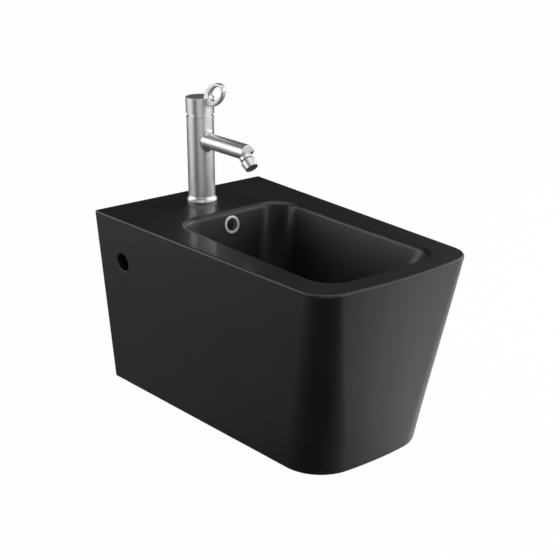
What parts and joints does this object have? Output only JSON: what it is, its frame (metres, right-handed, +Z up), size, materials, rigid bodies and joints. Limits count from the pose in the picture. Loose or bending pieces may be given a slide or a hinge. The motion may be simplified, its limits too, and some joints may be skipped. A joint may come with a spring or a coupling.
{
  "type": "wall-hung bidet",
  "caption": "Wall-hung square-sided bidet in black glazed china with a basin, overflow, click waste and a chrome single-lever mixer with a loop lever and swivel aerator.",
  "frame": {"origin": "on the wall face, midway between the two wall bolts, at their height", "axes": "+Y into the wall, -Y out to the front of the bidet, +Z up, +X to the right for someone facing the wall"},
  "size_m": [0.355, 0.5714, 0.5322],
  "materials": {
    "black_ceramic": "satin black glazed vitreous china",
    "chrome_brass": "polished chrome on cast and turned brass",
    "raw_brass": "machined brass",
    "steel": "zinc-plated or stainless steel",
    "black_rubber": "moulded EPDM rubber",
    "white_plastic": "moulded acetal",
    "grey_plastic": "moulded nylon",
    "chrome_plastic": "plated plastic plug"
  },
  "bodies": {
    "bidet": {"ceramic_body": "black_ceramic", "overflow_ring": "chrome_brass", "fixing_anchor": "steel", "fixing_liner": "grey_plastic", "fixing_washer": "steel", "fixing_screw": "steel", "waste_body": "chrome_brass", "click_cartridge": "white_plastic", "flange_gasket": "black_rubber", "boss_seal": "black_rubber", "slip_washer": "white_plastic", "waste_nut": "raw_brass", "tap_body": "chrome_brass", "tap_gasket": "black_rubber", "fixing_stud": "raw_brass", "horseshoe_pad": "black_rubber", "horseshoe_plate": "steel", "stud_nut": "raw_brass", "spout_nozzle": "chrome_brass", "spout_seal": "black_rubber", "swivel_stem": "chrome_brass", "cartridge_body": "grey_plastic", "port_seals": "black_rubber", "cartridge_nut": "raw_brass", "dome_cover": "chrome_brass"},
    "temperature": {"cartridge_turret": "white_plastic", "turret_pin": "steel"},
    "lift": {"cartridge_stem": "raw_brass", "handle": "chrome_brass", "grub_screw": "steel", "grub_cover": "chrome_plastic"},
    "seat": {"ball_seat": "white_plastic"},
    "aerator": {"aerator_housing": "chrome_brass", "aerator_seal": "black_rubber", "aerator_insert": "grey_plastic"},
    "plug": {"waste_plug": "chrome_brass", "plug_seal": "black_rubber"}
  },
  "joints": [
    {"name": "handle_turn", "type": "hinge", "parent": "bidet", "child": "temperature", "pos_m": [0, -0.064, 0.23], "axis": [0, 0, 1], "range_deg": [-50, 50]},
    {"name": "handle_lift", "type": "hinge", "parent": "temperature", "child": "lift", "pos_m": [0, -0.064, 0.23], "axis": [-1, 0, 0], "range_deg": [0, 18]},
    {"name": "aerator_tilt", "type": "hinge", "parent": "bidet", "child": "seat", "pos_m": [0, -0.20075, 0.17147], "axis": [1, 0, 0], "range_deg": [-7, 7]},
    {"name": "aerator_swing", "type": "hinge", "parent": "seat", "child": "aerator", "pos_m": [0, -0.20075, 0.17147], "axis": [0, -0.6613, 0.7501], "range_deg": [-7, 7]},
    {"name": "plug_slide", "type": "slide", "parent": "bidet", "child": "plug", "axis": [0, 0, -1], "range_m": [0, 0.007]}
  ]
}
